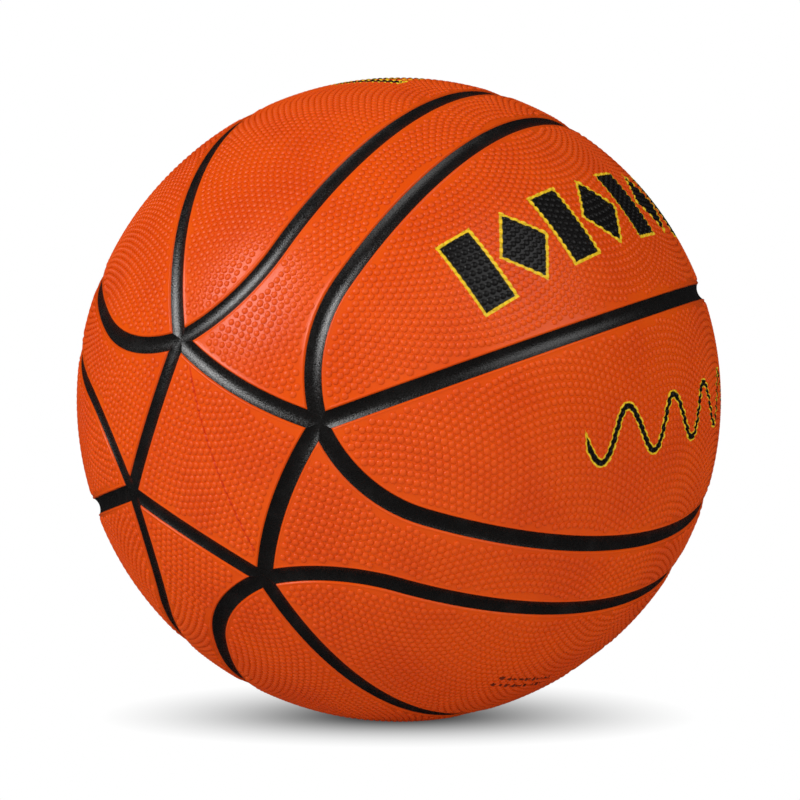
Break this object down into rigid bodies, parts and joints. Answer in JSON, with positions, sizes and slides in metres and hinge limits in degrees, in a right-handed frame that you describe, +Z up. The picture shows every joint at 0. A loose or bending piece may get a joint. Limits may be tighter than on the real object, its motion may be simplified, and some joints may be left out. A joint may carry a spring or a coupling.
{
  "type": "basketball",
  "caption": "Size 7 rubber basketball: orange pebbled cover panels parted by black hollow channels, over a carcass, thread winding and air bladder with a needle valve.",
  "frame": {"origin": "the ball's centre", "axes": "+Z up as the ball lies in the picture; the front pole square faces -Y, dipped 5 degrees, and the ball rests on -Z"},
  "size_m": [0.243, 0.243, 0.243],
  "materials": {
    "panel_rubber": "satin",
    "channel_rubber": "satin",
    "carcass_rubber": "matte",
    "winding_thread": "matte",
    "bladder_rubber": "satin",
    "valve_rubber": "satin"
  },
  "bodies": {
    "root": {"bladder": "bladder_rubber", "thread_winding": "winding_thread", "carcass": "carcass_rubber", "valve_housing": "valve_rubber", "valve_plug": "valve_rubber", "pole_panel_front": "panel_rubber", "pole_panel_back": "panel_rubber", "strip_panel_1": "panel_rubber", "strip_panel_2": "panel_rubber", "strip_panel_3": "panel_rubber", "strip_panel_4": "panel_rubber", "side_panel_1_left": "panel_rubber", "side_panel_1_right": "panel_rubber", "side_panel_2_left": "panel_rubber", "side_panel_2_right": "panel_rubber", "side_panel_3_left": "panel_rubber", "side_panel_3_right": "panel_rubber", "side_panel_4_left": "panel_rubber", "side_panel_4_right": "panel_rubber", "square_channel_front_1": "channel_rubber", "square_channel_front_2": "channel_rubber", "square_channel_front_3": "channel_rubber", "square_channel_front_4": "channel_rubber", "square_channel_back_1": "channel_rubber", "square_channel_back_2": "channel_rubber", "square_channel_back_3": "channel_rubber", "square_channel_back_4": "channel_rubber", "strip_channel_1_left": "channel_rubber", "strip_channel_1_right": "channel_rubber", "strip_channel_2_left": "channel_rubber", "strip_channel_2_right": "channel_rubber", "strip_channel_3_left": "channel_rubber", "strip_channel_3_right": "channel_rubber", "strip_channel_4_left": "channel_rubber", "strip_channel_4_right": "channel_rubber", "middle_channel_1": "channel_rubber", "middle_channel_2": "channel_rubber", "middle_channel_3": "channel_rubber", "middle_channel_4": "channel_rubber"}
  },
  "joints": []
}
